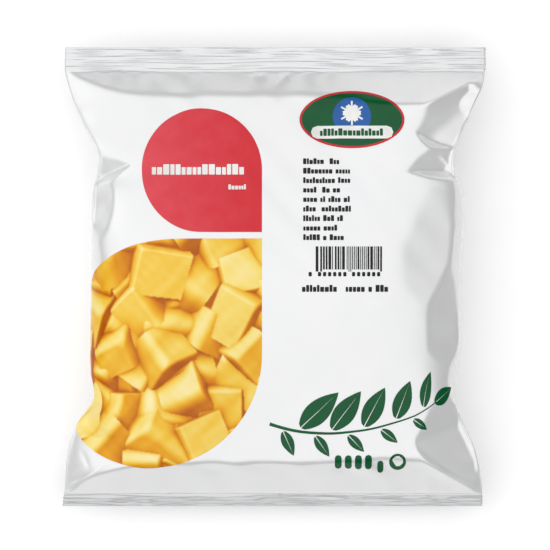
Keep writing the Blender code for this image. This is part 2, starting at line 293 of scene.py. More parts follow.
def bandRow(side, end, distance):  # end is 1 for the upper seal and -1 for the lower one
    lean = math.radians(bag["upperTilt"] if end > 0 else bag["lowerTilt"])
    y = (upperRoot if end > 0 else lowerRoot) + end * distance * math.cos(lean)
    z = bag["rootHeight"] - distance * math.sin(lean)
    x = side * rimPlace(side, y)[0] * halfColumns / rimAt
    half = bag["sealThickness"] / 2
    offY, offZ = end * math.sin(lean) * half, math.cos(lean) * half
    return pointRow(x, y + offY, z + offZ), pointRow(x, y - offY, z - offZ)


def filmGrid(steps=300):  # rings of points from the lower seal's tip to the upper one's: front, then back
    trace = np.linspace(lowerRoot, upperRoot, steps)
    crest = np.array([crossSection(1, y, steps=3)[1][0] for y in trace])
    way = measured(trace, crest)
    bodyPlaces = np.interp(np.linspace(0, way[-1], bag["bodyRows"] + 1)[1:-1], way, trace)
    band = bag["sealHeight"]
    bandPlaces = np.linspace(band, 0, bag["bandRows"] + 1)
    rows = [(band - d, [bandRow(side, -1, d) for side in (-1, 1)]) for d in bandPlaces]
    rows += [(band + np.interp(y, trace, way), [halfRow(side, y) for side in (-1, 1)]) for y in bodyPlaces]
    rows += [(band + way[-1] + d, [bandRow(side, 1, d) for side in (-1, 1)]) for d in bandPlaces[::-1]]
    rings = [
        np.concatenate([frontLeft[:0:-1], frontRight, backRight[::-1], backLeft[1:]])
        for _, ((frontLeft, backLeft), (frontRight, backRight)) in rows
    ]
    return np.array(rings), np.array([height for height, _ in rows]), way[-1]


film, filmHeights, bodyFilm = filmGrid()
ringSize = film.shape[1]
sideCount = 2 * len(halfColumns) - 1  # points across the front, and again across the back
rowPlaces = film[:, sideCount // 2, 1].copy()
frontWay = np.concatenate([-halfColumns[:0:-1], halfColumns])  # film coordinate, -105 to 105
ringWay = np.concatenate([frontWay, -frontWay])[None]
print("film measured:", film.shape[0], "rings of", ringSize, "points,", round(bodyFilm, 1), "mm between the seals")


def gridNormals(grid):
    across = np.roll(grid, -1, axis=1) - np.roll(grid, 1, axis=1)
    along = np.gradient(grid, axis=0)
    normals = np.cross(across, along)
    return normals / np.maximum(np.linalg.norm(normals, axis=2, keepdims=True), 1e-9)


relief = {  # heights and lengths of the small forms in the film
    "seed": 5,
    "ribPitch": 1.7,
    "ribHeight": 0.25,
    "ribWander": 1.1,
    "streakHeight": 0.28,
    "fading": (0.9, 0.3),  # of ribs and streaks: their mean strength, and how much it changes
    "bandEdges": (0.8, 0.6),  # widths over which they rise from the root, and from the tip
    "rootGroove": 0.8,  # depth of the line along the lower seal's root
    "grooveWidth": 0.45,
    "bodyEdge": 1.5,  # the body's small forms rise over this width
    "pucker": (0.12, 6, 10),  # height, way over which it fades, and width at the rim where it begins
    "side": (0.09, 9, 3),
    "fillHeight": 0.12,
    "fillLeast": 0.2,  # share of it near the rims and the strips
    "fillRim": (30, 30),  # from the rim: where it begins to grow, and over what width
    "fillBand": (10, 14),
    "lap": (9, 13, 0.8, 0.35),  # the lap seam down the back: place, width, width of its edge, height
    "backRaised": 0.386,  # keeps the lap seam off the ground
    "backMost": 0.1,  # the back shows half of the front's forms, as far as they rise to this
}
filmWaves = {  # shortest and longest across the bag, the same along it, and how many are mixed
    "wobble": ((50, 140), (300, 600), 6),
    "streaks": ((45, 160), (2.0, 4.5), 16),
    "fading": ((18, 50), (20, 60), 8),
    "pucker": ((6, 22), (60, 140), 12),
    "side": ((20, 45), (7, 20), 12),
    "fill": ((15, 34), (15, 34), 18),
}


def waves(rng, across, along, acrossLengths, alongLengths, count=14):  # irregular waves of height about 1
    total = np.zeros(np.broadcast(across, along).shape)
    for _ in range(count):
        lengthX = rng.uniform(*acrossLengths) * rng.choice((-1, 1))
        lengthY = rng.uniform(*alongLengths)
        total += np.cos(2 * np.pi * (across / lengthX + along / lengthY) + rng.uniform(0, 2 * np.pi))
    return total / math.sqrt(count / 2)


def filmRelief():
    rng = random.Random(relief["seed"])
    height = filmHeights[:, None]
    wave = {name: waves(rng, ringWay, height, *lengths) for name, lengths in filmWaves.items()}
    isFront = np.arange(ringSize)[None] < sideCount
    toTip = np.minimum(height, filmHeights[-1] - height)
    toRim = rimAt - abs(ringWay)
    intoBand = bag["sealHeight"] - toTip  # above 0 in the seal bands
    intoBody = np.maximum(-intoBand, 0)

    rootEdge, tipEdge = relief["bandEdges"]
    strength, change = relief["fading"]
    ribs = np.sin(2 * np.pi * intoBand / relief["ribPitch"] + relief["ribWander"] * wave["wobble"])
    band = relief["ribHeight"] * ribs + relief["streakHeight"] * wave["streaks"]
    band = band * (strength + change * wave["fading"]) * smoothRise(intoBand / rootEdge) * smoothRise(toTip / tipEdge)

    (rimStart, rimSpan), (bandStart, bandSpan) = relief["fillRim"], relief["fillBand"]
    filled = smoothRise((toRim - rimStart) / rimSpan) * smoothRise((intoBody - bandStart) / bandSpan)
    least = relief["fillLeast"]
    small = relief["fillHeight"] * wave["fill"] * (least + (1 - least) * filled)
    for name, way in (("pucker", intoBody), ("side", toRim)):
        high, reach, edge = relief[name]
        small += high * wave[name] * np.exp(-way / reach) * smoothRise(toRim / edge)
    inBody = smoothRise(intoBody / relief["bodyEdge"])
    groove = np.exp(-((intoBand / relief["grooveWidth"]) ** 2)) * (height < filmHeights[-1] / 2)
    front = inBody * small - relief["rootGroove"] * groove

    at, width, edge, high = relief["lap"]
    lap = high * (1 - smoothRise((abs(ringWay - at) - width / 2) / edge + 0.5))
    back = lap + inBody * (np.minimum(front, relief["backMost"]) / 2 - relief["backRaised"])
    return np.where(isFront, band + front, back - band)


filmNormals = gridNormals(film)
film = film + filmRelief()[..., None] * filmNormals
film[..., 2] = np.maximum(film[..., 2], 0)
filmNormals = gridNormals(film)
print("film wrinkled")


def placed(name, data, at=(0, 0, 0)):
    thing = bpy.data.objects.new(name, data)
    thing.location = at
    bpy.context.scene.collection.objects.link(thing)
    return thing


def makeMesh(name, points, faces, material, bakePlaces):
    mesh = bpy.data.meshes.new(name)
    mesh.from_pydata([tuple(p) for p in points * mm], [], faces)
    mesh.shade_smooth()
    mesh.materials.append(material)
    # one place in the material's flat sheet for each corner of a face
    mesh.uv_layers.new(name="OFBake").uv.foreach_set("vector", np.asarray(bakePlaces, np.float32).ravel())
    piece = placed(name, mesh)
    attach(piece, "root")
    return piece


def setSockets(node, values):
    for socket, value in values.items():
        node.inputs[socket].default_value = value


def newMaterial(name, colour, roughness=0.3):
    material = bpy.data.materials.new(name)
    material.use_nodes = True
    shader = material.node_tree.nodes["Principled BSDF"]
    setSockets(shader, {"Base Color": (*colour, 1), "Roughness": roughness})
    return material, shader


def join(material, source, target):
    material.node_tree.links.new(source, target)


def addNode(material, kind, links=(), **settings):  # settings by socket name, or by property name
    node = material.node_tree.nodes.new("ShaderNode" + kind)
    for key, value in settings.items():
        if key in node.inputs:
            node.inputs[key].default_value = value
        else:
            setattr(node, key, value)
    for socket, source in links:
        join(material, source, node.inputs[socket])
    return node


def noise(material, size, detail=3):  # size of the patches in millimetres
    places = addNode(material, "TexCoord").outputs["Object"]
    node = addNode(material, "TexNoise", [("Vector", places)], Scale=1 / (size * mm), Detail=detail)
    return node.outputs["Fac"]


def mapped(material, source, start, end, low=0, high=1, **settings):  # start..end turned into low..high
    node = addNode(material, "MapRange", [("Value", source)], **settings)
    setSockets(node, {"From Min": start, "From Max": end, "To Min": low, "To Max": high})
    return node.outputs["Result"]


def spread(material, source, low, high):  # a noise's middle range, mapped to low..high
    return mapped(material, source, 0.3, 0.7, low, high)


def blend(material, share, first, second):  # a colour or the output of a node for each
    mix = addNode(material, "Mix", data_type="RGBA")
    join(material, share, mix.inputs["Factor"])
    for socket, value in ((6, first), (7, second)):
        if isinstance(value, tuple):
            mix.inputs[socket].default_value = (*value, 1)
        else:
            join(material, value, mix.inputs[socket])
    return mix.outputs[2]


def glossyFilm(material, shader, look, coat=1):  # the sheen and crinkle shared by bare and printed film
    clouds = spread(material, noise(material, look["cloudSize"]), *look["roughness"])
    join(material, clouds, shader.inputs["Roughness"])
    crinkle = noise(material, look["crinkleSize"], look["crinkleDetail"])
    depth = look["crinkleDepth"] * mm
    bump = addNode(material, "Bump", [("Height", crinkle)], Strength=look["crinkle"], Distance=depth)
    join(material, bump.outputs["Normal"], shader.inputs["Normal"])
    setSockets(shader, {"Coat Weight": look["coat"] * coat, "Coat Roughness": look["coatRoughness"]})
    setSockets(shader, {"Specular IOR Level": look["gloss"] * max(coat, look["inkGloss"])})


filmLook = {
    "white": (0.8, 0.805, 0.815),
    "milky": (0.82, 0.82, 0.82),
    "milkSize": 26,
    # greyer seal bands: partly the pressed film's own grey, partly painted shade, darkest at the steeply drooping
    # lower band
    "sealShade": ((0.63, 0.635, 0.645), (0.735, 0.74, 0.75)),  # at the lower band and at the upper one
    "sealShadeEdge": 0.5,
    "cloudSize": 11,
    "roughness": (0.21, 0.265),
    "crinkleSize": 3.5,
    "crinkleDetail": 1.5,
    "crinkle": 0.3,
    "crinkleDepth": 0.03,
    "coat": 1.0,
    "coatRoughness": 0.1,
    "gloss": 1.0,
    "pearl": 0.16,
    "inkGloss": 0.25,  # of the bare film's
}


def filmMaterial():
    material, shader = newMaterial("whiteFilm", filmLook["white"])
    clouds = spread(material, noise(material, filmLook["milkSize"]), 0, 1)
    colour = blend(material, clouds, filmLook["white"], filmLook["milky"])
    places = addNode(material, "TexCoord").outputs["Object"]
    along = addNode(material, "SeparateXYZ", [("Vector", places)]).outputs["Y"]
    # painted shade: each seal band's colour is darkened, partly for the pressed film's own grey, more at the steep
    # lower band than at the upper one
    for root, way, sealShadeColour in zip((lowerRoot, upperRoot), (-1, 1), filmLook["sealShade"]):
        edge = way * filmLook["sealShadeEdge"]
        sealShade = mapped(material, along, (root - edge) * mm, (root + edge) * mm)
        colour = blend(material, sealShade, colour, sealShadeColour)
    join(material, colour, shader.inputs["Base Color"])
    setSockets(shader, {"Metallic": filmLook["pearl"]})
    glossyFilm(material, shader, filmLook)
    return material


def filmFaces():  # two triangles for each cell, so that the print can lie exactly on them
    rows = film.shape[0]
    gap = 1  # between the parts of the flat sheet
    sheet = 1 / (4 * rimAt + 6 * gap)
    wayRound = np.concatenate([frontWay + rimAt, frontWay + 3 * rimAt + gap, [4 * rimAt + 2 * gap]]) * sheet
    levels = (filmHeights + 2 * gap) * sheet
    faces, places = [], []
    for i in range(rows - 1):
        for j in range(ringSize):
            k = (j + 1) % ringSize
            low, high = i * ringSize, (i + 1) * ringSize
            faces += [(low + j, low + k, high + k), (low + j, high + k, high + j)]
            (left, right), (foot, head) = wayRound[j:j + 2], levels[i:i + 2]
            places += [(left, foot), (right, foot), (right, head), (left, foot), (right, head), (left, head)]
    for j in range(sideCount - 1):  # the two seal tips
        k = ringSize - 1 - j
        top = (rows - 1) * ringSize
        left, right = wayRound[j:j + 2]
        faces += [(j, k, k - 1, j + 1), (top + j, top + j + 1, top + k - 1, top + k)]
        for foot in (0, filmHeights[-1] + 3 * gap):
            low, high = foot * sheet, (foot + gap) * sheet
            places += [(left, low), (left, high), (right, high), (right, low)]
    return faces, places


filmPieces, filmPlaces = filmFaces()
bagFilm = makeMesh("bagFilm", film.reshape(-1, 3), filmPieces, filmMaterial(), filmPlaces)
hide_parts("bag")
print("film made:", len(bagFilm.data.polygons), "faces")


# Print lies on the film's own triangles. Its places are (way over the film from the middle line, y);
# beyond the rims the way goes on over the back.
turned = np.arange(bag["sideColumns"] // 2)
beyond = rimAt + bag["sealThickness"] + rimAt - halfColumns[-1 - turned]
printWays = np.concatenate([-beyond[::-1], frontWay, beyond])
printRing = np.concatenate([(ringSize - 1 - turned)[::-1], np.arange(sideCount), sideCount + turned])


def cellOf(line, at):  # the cell that each place is in, and how far across it
    cell = np.clip(np.searchsorted(line, at) - 1, 0, len(line) - 2)
    return cell, ((at - line[cell]) / (line[cell + 1] - line[cell]))[:, None]


def onFilm(way, y, lift):
    (row, up), (column, out) = cellOf(rowPlaces, y), cellOf(printWays, way)
    near, far = printRing[column], printRing[column + 1]
    more, less = np.maximum(out, up), np.minimum(out, up)

    def between(grid):  # the three corners of the triangle around each place
        third = np.where(out >= up, grid[row, far], grid[row + 1, near])
        return (1 - more) * grid[row, near] + (more - less) * third + less * grid[row + 1, far]

    return between(film) + lift * between(filmNormals)


def ahead(lean):  # a step of 1 in the direction of an angle
    return np.array((math.cos(lean), math.sin(lean)))


def sideWay(lean):
    return np.array((-math.sin(lean), math.cos(lean)))


def stepped(corners, step):  # a closed outline with points no further apart than the step
    points = []
    for start, end in zip(corners, corners[1:] + corners[:1]):
        count = max(1, math.ceil(math.dist(start, end) / step))
        points += [tuple(start[k] + (end[k] - start[k]) * n / count for k in (0, 1)) for n in range(count)]
    return points


printing = {
    "lift": 0.12,  # of a mark above the film, unless it says otherwise
    "spacing": 1.2,  # between the points within a field
    "closeness": 1e-4,  # points nearer than this become one
    "sheetMargin": 0.01,
}


def makePrint(name, outlines, material, spacing=0, lift=printing["lift"], colours=None):  # spacing 0 for narrow marks
    points, edges = [], []
    for outline in outlines:
        first = len(points)
        points += outline
        edges += [(first + n, first + (n + 1) % len(outline)) for n in range(len(outline))]
    places = np.array(points)
    low, high = places.min(0), places.max(0)
    if spacing:
        ways, ys = (np.arange(low[k] + spacing / 2, high[k], spacing) for k in (0, 1))
        ways, ys = np.meshgrid(ways, ys)
        ways[1::2] += spacing / 2
        points += list(zip(ways.ravel(), ys.ravel()))
    made, _, faces, *_ = delaunay_2d_cdt([Vector(p) for p in points], edges, [], 2, printing["closeness"])
    flat = np.array([tuple(p) for p in made])
    used = sorted({corner for face in faces for corner in face})
    number = {corner: n for n, corner in enumerate(used)}
    faces = [[number[corner] for corner in face] for face in faces]
    flat = flat[used]
    margin = printing["sheetMargin"]
    sheet = (flat - low) / max(high - low) * (1 - 2 * margin) + margin
    spots = [tuple(sheet[corner]) for face in faces for corner in face]
    piece = makeMesh(name, onFilm(flat[:, 0], flat[:, 1], lift), faces, material, spots)
    if colours:
        shades = np.concatenate([colours(flat), np.ones((len(flat), 1))], 1)
        layer = piece.data.color_attributes.new(name="ink", type="FLOAT_COLOR", domain="POINT")
        layer.data.foreach_set("color", shades.astype(np.float32).ravel())
    return piece


def linear(colour):  # a screen colour, 0 to 255, as light
    share = np.asarray(colour) / 255
    return np.where(share < 0.04045, share / 12.92, ((share + 0.055) / 1.055) ** 2.4)


inks = {
    "red": (212, 44, 54),
    "paleRed": (224, 78, 90),
    "green": (2, 88, 46),
    "black": (22, 22, 24),
    "blue": (40, 96, 168),
    "white": (244, 244, 242),
    "fruit": (240, 190, 70),
}
inkLook = {
    "patchSize": 9,
    "darker": 0.82,  # the darker patches of a plain ink
    "fadePatches": 0.35,  # how far the patches shift the fade from one colour to the other
}


def inkMaterial(name, first, second=None):
    colour = linear(inks[first])
    other = linear(inks[second]) if second else colour * inkLook["darker"]
    material, shader = newMaterial(name, colour)
    patches = spread(material, noise(material, inkLook["patchSize"]), 0, inkLook["fadePatches"] if second else 1)
    # with a second colour the ink is paler towards the left of its sheet and fades to the first colour at the right
    if second:
        sheet = addNode(material, "UVMap", uv_map="OFBake")
        across = addNode(material, "SeparateXYZ", [("Vector", sheet.outputs["UV"])])
        fade = addNode(material, "Math", [(0, across.outputs["X"]), (1, patches)], operation="ADD", use_clamp=True)
        patches = fade.outputs["Value"]
        colour, other = other, colour
    join(material, blend(material, patches, tuple(colour), tuple(other)), shader.inputs["Base Color"])
    glossyFilm(material, shader, filmLook, 0)
    return material


blackInk = inkMaterial("blackInk", "black")
greenInk = inkMaterial("greenInk", "green")
whiteInk = inkMaterial("whiteInk", "white")

petal = {
    "centre": (-35.7, 53),
    "radius": (29.9, 30.9),
    "spacing": 0.8,
    "lift": 0.1,
    "marks": ((-60.5, 50.6, 48, 5.2), (-22.4, 43.2, 11, 2.6)),  # rows: left, bottom, width, size
    "marksLift": 0.2,
}


def petalOutline(centre, radius, step=0.6):  # a disc with a square corner at its lower right
    count = round(1.5 * math.pi * radius[0] / step)
    turns = [math.radians(270 * n / count) for n in range(count + 1)]
    arc = [(centre[0] + radius[0] * math.cos(a), centre[1] + radius[1] * math.sin(a)) for a in turns]
    tip = (centre[0] + radius[0], centre[1] - radius[1])
    unwanted = max(1, math.ceil(math.dist(arc[0], arc[-1]) / step))  # points of the side that would close the corner
    return arc[:-1] + stepped([arc[-1], tip, arc[0]], step)[:-unwanted]


def ovalOutline(x, y, wide, tall, count=72):
    turns = np.linspace(0, 2 * math.pi, count, endpoint=False)
    return [(x + wide * math.cos(a), y + tall * math.sin(a)) for a in turns]


def barOutline(x, y, width, height, rounding=0.3, step=0.9):  # with rounded ends, from its lower left corner
    left, right, bottom, top = x + rounding, x + width - rounding, y + rounding, y + height - rounding
    corners = []
    for cx, cy, start in ((right, top, 0), (left, top, 90), (left, bottom, 180), (right, bottom, 270)):
        for turn in (0, 45, 90):
            a = math.radians(start + turn)
            corners.append((cx + rounding * math.cos(a), cy + rounding * math.sin(a)))
    return stepped(corners, step)


marks = {  # rows of upright bars in groups, as shares of their size
    "seed": 3,
    "wide": (0.34, 0.6),
    "tall": (0.72, 0.72, 0.72, 1),
    "gap": 0.1,
    "space": 0.45,  # added between two groups
    "spaceChance": 0.18,
    "firstGroup": 2.2,  # least width of the first group
    "endMargin": 0.4,
    "round": 0.25,  # of a bar's own width
    "roundMost": 0.3,  # in millimetres
    "step": 1.2,
}
draws = random.Random(marks["seed"])


def rowOfMarks(x, y, width, size, spaceChance=marks["spaceChance"]):
    outlines = []
    at = x
    while at < x + width - marks["endMargin"] * size:
        if outlines and draws.random() < spaceChance and at > x + marks["firstGroup"] * size:
            at += marks["space"] * size
            continue
        wide = size * draws.uniform(*marks["wide"])
        tall = size * draws.choice(marks["tall"])
        rounding = min(marks["round"] * wide, marks["roundMost"])
        outlines.append(barOutline(at, y, wide, tall, rounding, marks["step"]))
        at += wide + marks["gap"] * size
    return outlines


def rowsOfMarks(rows):
    return [outline for row in rows for outline in rowOfMarks(*row)]


disc = petalOutline(petal["centre"], petal["radius"])
makePrint("petalPrint", [disc], inkMaterial("redInk", "red", "paleRed"), petal["spacing"], petal["lift"])
makePrint("petalMarks", rowsOfMarks(petal["marks"]), whiteInk, lift=petal["marksLift"])

lines = {"left": 14.6, "top": 57.3, "pitch": 4.72, "size": 2.9, "widths": (19, 24, 23.4, 19, 23.4, 24, 20, 18, 20.5)}
lineRows = [
    (lines["left"], lines["top"] - n * lines["pitch"] - lines["size"] / 2, width, lines["size"])
    for n, width in enumerate(lines["widths"])
]
makePrint("textMarks", rowsOfMarks(lineRows), blackInk)

bars = {
    "left": 20.7,
    "right": 53.8,
    "top": 15.0,
    "bottom": 3.6,
    "module": 0.45,
    "widths": (1, 1, 2, 3),  # in modules, as the gaps are
    "gaps": (1, 1, 2),
    "guard": 1.0,  # how much longer the end and middle bars are
    "guardEnd": 2.2,
    "guardMiddle": 1,
    "blocks": ((17.2, 1), (21.8, 6), (38.6, 6)),  # the small ones below, in groups: left, count
    "blockPitch": 2.5,
    "block": (1.6, 2.2, 0.5),  # width, height, rounding
    "blockBottom": 0.2,
    "step": 1.2,
}


def barField():
    outlines, at, n = [], bars["left"], 0
    centre = (bars["left"] + bars["right"]) / 2
    while at < bars["right"] - bars["module"]:
        width = bars["module"] * draws.choice(bars["widths"])
        isLong = n < 2 or at > bars["right"] - bars["guardEnd"] or abs(at - centre) < bars["guardMiddle"]
        foot, top = bars["bottom"] - (bars["guard"] if isLong else 0), bars["top"]
        outlines.append(stepped([(at, foot), (at + width, foot), (at + width, top), (at, top)], bars["step"]))
        at += width + bars["module"] * draws.choice(bars["gaps"])
        n += 1
    for start, count in bars["blocks"]:
        lefts = (start + bars["blockPitch"] * k for k in range(count))
        outlines += [barOutline(left, bars["blockBottom"], *bars["block"]) for left in lefts]
    return outlines


makePrint("barMarks", barField(), blackInk)

lot = {"rows": ((14, -7.4, 18.5, 3.4, 0), (35.5, -7.4, 22, 3.4))}  # the first in one group
makePrint("lotMarks", rowsOfMarks(lot["rows"]), blackInk)

weight = {
    "bars": ((30.4, -95.6), (35.4, -95.6), (40.4, -95.6), (45.4, -95.6)),  # lower left corners
    "bar": (3.4, 7, 1.5),  # width, height, rounding
    "shortBar": (51.6, -97.6, 3, 6, 1.4),
    "rings": ((61.6, -92, 4.2, 4.2, 28), (61.6, -92, 3.2, 3.2, 28)),  # centre, radii, points
}
weightBars = [barOutline(*corner, *weight["bar"]) for corner in weight["bars"]] + [barOutline(*weight["shortBar"])]
makePrint("weightMarks", weightBars + [ovalOutline(*ring) for ring in weight["rings"]], greenInk)

badge = {
    "centre": (39, 78.2),
    "halfWidth": 26.2,
    "halfHeight": 14.4,
    "rim": 1.1,
    "lifts": (0.1, 0.16, 0.22, 0.27, 0.28, 0.33),  # of the rim, field, round, band, flake and marks
    "round": (1.6, 9.6, 48),  # height of its centre, radius, points
    "band": (-20.5, -9.6, 41, 6.4, 3.1),  # left, bottom, width, height, rounding
    "marks": (-16, -8.2, 32, 3.6, 0.1),  # left, bottom, width, size, chance of a space
    "flake": (3.2, 6.2, 0.9),  # height of its centre, radius, width of an arm
    "flakeTurn": 30,
    "flakeArms": ((0.12, 0, 0.88), (0.45, 55, 0.38), (0.45, -55, 0.38)),  # start, angle and length of an arm's parts
}


def flakeOutlines(x, y, radius, width):  # a six-armed flake
    outlines = []
    for arm in range(6):
        turn = math.radians(60 * arm + badge["flakeTurn"])
        for start, side, length in badge["flakeArms"]:
            lean = turn + math.radians(side)
            root, off = (x, y) + radius * start * ahead(turn), sideWay(lean) * width / 2
            tip = root + radius * length * ahead(lean)
            outlines.append(stepped([tuple(p) for p in (root + off, root - off, tip - off, tip + off)], 1))
    return outlines


def makeBadge():
    (x, y), wide, tall, rim = badge["centre"], badge["halfWidth"], badge["halfHeight"], badge["rim"]
    up, radius, count = badge["round"]
    flakeUp, *flake = badge["flake"]
    (bandLeft, bandBottom, *band), (marksLeft, marksBottom, *row) = badge["band"], badge["marks"]
    spacing, lifts = printing["spacing"], badge["lifts"]
    makePrint("badgeRim", [ovalOutline(x, y, wide, tall)], inkMaterial("badgeRed", "red"), spacing, lifts[0])
    makePrint("badgeField", [ovalOutline(x, y, wide - rim, tall - rim)], greenInk, spacing, lifts[1])
    disc = ovalOutline(x, y + up, radius, radius, count)
    makePrint("badgeRound", [disc], inkMaterial("blueInk", "blue"), spacing, lifts[2])
    makePrint("badgeBand", [barOutline(x + bandLeft, y + bandBottom, *band)], whiteInk, spacing, lifts[3])
    makePrint("badgeFlake", flakeOutlines(x, y + flakeUp, *flake), whiteInk, lift=lifts[4])
    makePrint("badgeMarks", rowOfMarks(x + marksLeft, y + marksBottom, *row), greenInk, lift=lifts[5])


makeBadge()
print("marks printed")

sprig = {
    "stem": ((-2, -73), (26, -83), (58, -76), (86, -62)),  # the four places of a Bezier curve
    "stemSteps": 60,
    "stemWidth": 1.6,
    "stemTaper": 0.7,
    "leaves": 11,
    "leafSpan": (0.08, 0.9),  # where the leaves begin, and over what share of the stem they spread
    "length": 27,
    "taper": (1.05, 0.4),  # of the leaves' lengths along the stem
    "lowerShare": 0.5,  # of a leaf below the stem
    "leafShare": 0.21,  # half width as a share of the length
    "leafCurve": (0.85, 0.9),  # how soon a leaf is at its widest, and how full it is there
    "angle": 52,
    "offset": 1.3,  # from the stem's middle
    "slit": 0.5,  # between its halves
    "slitEnd": 0.03,
}


def stemAt(share):  # a point and the direction on the stem
    p = np.array(sprig["stem"], float)
    t, rest = share, 1 - share
    spot = rest ** 3 * p[0] + 3 * t * rest ** 2 * p[1] + 3 * t * t * rest * p[2] + t ** 3 * p[3]
    way = 3 * (rest ** 2 * (p[1] - p[0]) + 2 * t * rest * (p[2] - p[1]) + t * t * (p[3] - p[2]))
    return spot, math.atan2(way[1], way[0])


def leafHalves(base, lean, length, width, slit, steps=16):
    along, aside = ahead(lean), sideWay(lean)
    early, full = sprig["leafCurve"]
    halves = []
    for side in (1, -1):
        edge = [(k / steps, width * math.sin(math.pi * (k / steps) ** early) ** full) for k in range(1, steps)]
        edge += [(a, 0) for a in np.linspace(1, sprig["slitEnd"], steps - 2)]
        halves.append([tuple(base + along * length * a + aside * side * (slit / 2 * (1 - a) + w)) for a, w in edge])
    return halves


def makeSprig():
    left, right, outlines = [], [], []
    for share in np.linspace(0, 1, sprig["stemSteps"]):
        spot, lean = stemAt(share)
        aside = sideWay(lean) * sprig["stemWidth"] / 2 * (1 - sprig["stemTaper"] * share)
        left.append(tuple(spot + aside))
        right.append(tuple(spot - aside))
    (first, span), (longest, shorter) = sprig["leafSpan"], sprig["taper"]
    last = sprig["leaves"] - 1
    for n in range(sprig["leaves"]):
        share = first + span * n / last
        spot, lean = stemAt(min(share, 1))
        side = 0 if n == last else (1 if n % 2 else -1)
        length = sprig["length"] * (longest - shorter * share) * (sprig["lowerShare"] if side < 0 else 1)
        base = spot + sideWay(lean) * side * sprig["offset"]
        lean += side * math.radians(sprig["angle"])
        outlines += leafHalves(base, lean, length, length * sprig["leafShare"], sprig["slit"])
    makePrint("sprigLeaves", outlines, greenInk, printing["spacing"])
    makePrint("sprigStem", [left + right[::-1]], greenInk)


makeSprig()

window = {
    "centre": (-62.9, -38.2),
    "radius": 57.1,
    "shoulderX": -45,  # where the round of its upper left corner begins
    "footPower": 1.8,  # how full its lower left corner is, from 2 for a round one
    "spacing": 0.45,
    "lift": 0.1,
}


def windowOutline(step=0.6):  # square at the upper right and round elsewhere
    (x, y), radius = window["centre"], window["radius"]
    corners = [(x + radius, y + radius)]
    for start, middle, power in ((90, window["shoulderX"], 2), (180, x, window["footPower"]), (270, x, 2)):
        wide = radius if start == 270 else middle - (x - radius)
        for turn in range(start, start + 90):
            parts = [f(math.radians(turn)) for f in (math.cos, math.sin)]
            across, up = (math.copysign(abs(part) ** (2 / power), part) for part in parts)
            corners.append((middle + wide * across, y + radius * up))
    return stepped(corners + [(x + radius, y)], step)


heap = {  # the fruit in the window: dice as rounded boxes, laid in layers
    "seed": 21,
    "step": 0.42,
    "margin": 4,  # beyond the window
    "ground": -14,
    "pitch": (25, 22),
    "layers": (0, 8, 15),
    "layerShift": (0.33, 0.4),  # of a pitch
    "scatter": (3, 3, 2),
    "halfSizes": ((11, 14.5), (9.5, 12), (8.5, 11)),
    "skew": 0.1,  # keeps the faces from being square to each other
    "lean": 38,
    "topGaps": 0.35,  # share of the top layer that is left out
    "rounding": 10,
    "leastLean": 0.03,  # of an upright face
    "light": (-0.35, 0.5, 0.8),
    "shade": (0.04, 0.72, 0.14),  # least tone, that of the light, and that of the open sky
    "tint": 0.07,
    "shadows": ((1.3, 3, 0.6), (5, 8, 0.62)),  # in the gaps: reach, depth at which they are full, strength
    "veins": ((0.01, (5, 12)), (0.03, (14, 30))),
}
fruitShades = (  # from the gaps to the lit faces
    (0, (168, 76, 0)), (0.2, (206, 118, 2)), (0.4, (232, 162, 20)), (0.58, (241, 194, 60)),
    (0.76, (247, 220, 118)), (1, (253, 240, 184)),
)


def turnedAxes(rng):
    yaw = rng.uniform(0, 2 * math.pi)
    leanY, leanX = (math.radians(rng.uniform(-1, 1) * heap["lean"]) for _ in range(2))
    return np.array(Euler((leanX, leanY, yaw)).to_matrix()).T


def softened(grid, reach):  # a blur by running means, three each way
    count = max(1, round(reach / heap["step"]))
    wide = 2 * count + 1
    for _ in range(6):
        sums = np.cumsum(np.pad(grid, ((count + 1, count), (0, 0)), mode="edge"), axis=0)
        grid = ((sums[wide:] - sums[:-wide]) / wide).T
    return grid


def diceInHeap(rng, size):  # each one's place, its faces as (normal, distance), and its tint
    pitchX, pitchY = heap["pitch"]
    shiftX, shiftY = heap["layerShift"]
    scatter, skewed = heap["scatter"], heap["skew"]
    for layer, level in enumerate(heap["layers"]):
        for row in range(int(2 * size / pitchY) + 2):
            for column in range(int(2 * size / pitchX) + 2):
                cx = -size + pitchX * (column + 0.5 * (row % 2) + shiftX * layer) + rng.uniform(-1, 1) * scatter[0]
                cy = -size + pitchY * (row + shiftY * layer) + rng.uniform(-1, 1) * scatter[1]
                cz = level + rng.uniform(-1, 1) * scatter[2]
                axes, halves = turnedAxes(rng), [rng.uniform(*r) for r in heap["halfSizes"]]
                tint = rng.uniform(-1, 1) * heap["tint"]
                skews = [[rng.uniform(-skewed, skewed) for _ in range(3)] for _ in range(6)]
                if level == heap["layers"][-1] and rng.random() < heap["topGaps"]:
                    continue
                faces = [(axes[n // 2] * (1 if n % 2 else -1) + skews[n], halves[n // 2]) for n in range(6)]
                yield (cx, cy, cz), faces, math.hypot(*halves), tint


